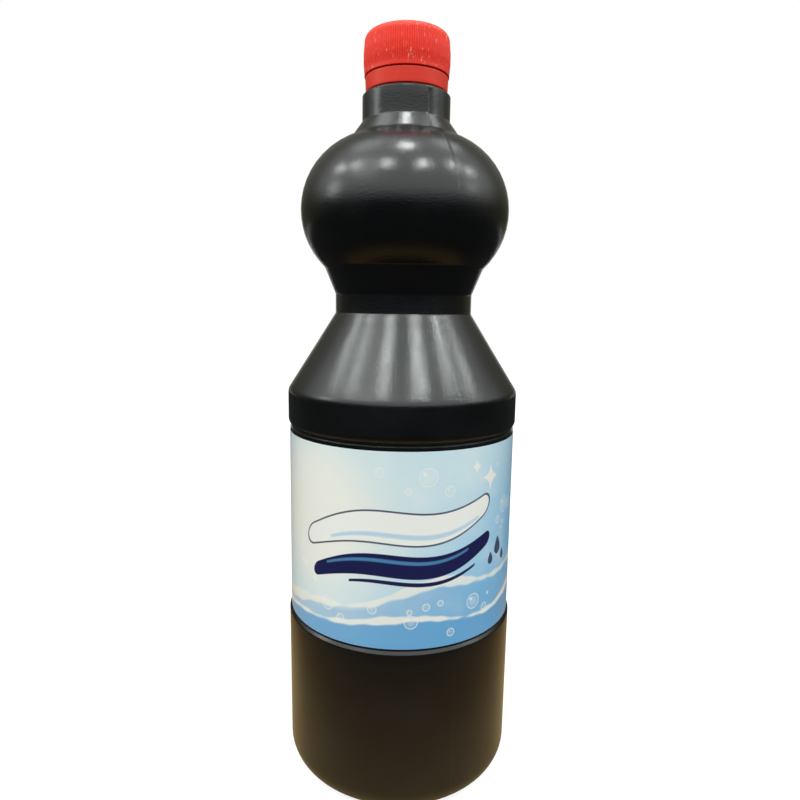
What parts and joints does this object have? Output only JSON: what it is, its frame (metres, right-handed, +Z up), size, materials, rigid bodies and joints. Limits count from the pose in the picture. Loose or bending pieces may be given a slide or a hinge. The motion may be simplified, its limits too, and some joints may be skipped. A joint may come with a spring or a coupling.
{
  "type": "bleach bottle",
  "caption": "Waisted blow-moulded bleach bottle with a ball-shaped upper body, recessed label panel and red ribbed tamper-evident screw cap.",
  "frame": {"origin": "centre of the standing ring, on the surface the bottle stands on", "axes": "+Z up along the bottle's axis towards the cap; -Y is the front that the picture shows; +X is to its right"},
  "size_m": [0.0848, 0.0848, 0.2673],
  "materials": {
    "bottle_plastic": "satin black HDPE with a fine moulded grain",
    "cap_plastic": "satin red polypropylene",
    "liner_foam": "white expanded polyethylene foam",
    "band_plastic": "smooth red polypropylene",
    "label_film": "glossy printed polypropylene film, pale cream to sky blue"
  },
  "bodies": {
    "bottle": {"bottle": "bottle_plastic", "tamper_band": "band_plastic", "label": "label_film"},
    "liner": {"cap_liner": "liner_foam"},
    "cap": {"cap": "cap_plastic"}
  },
  "joints": [
    {"name": "cap_lift", "type": "slide", "parent": "bottle", "child": "liner", "axis": [0, 0, 1], "range_m": [0, 0.0176]},
    {"name": "cap_turn", "type": "hinge", "parent": "liner", "child": "cap", "pos_m": [0, 0, 0.2532], "axis": [0, 0, 1], "range_deg": [0, 1980]}
  ],
  "couplings": [
    {"joint": "cap_lift", "follows": "cap_turn", "m_per_rad": 0.00050611}
  ]
}
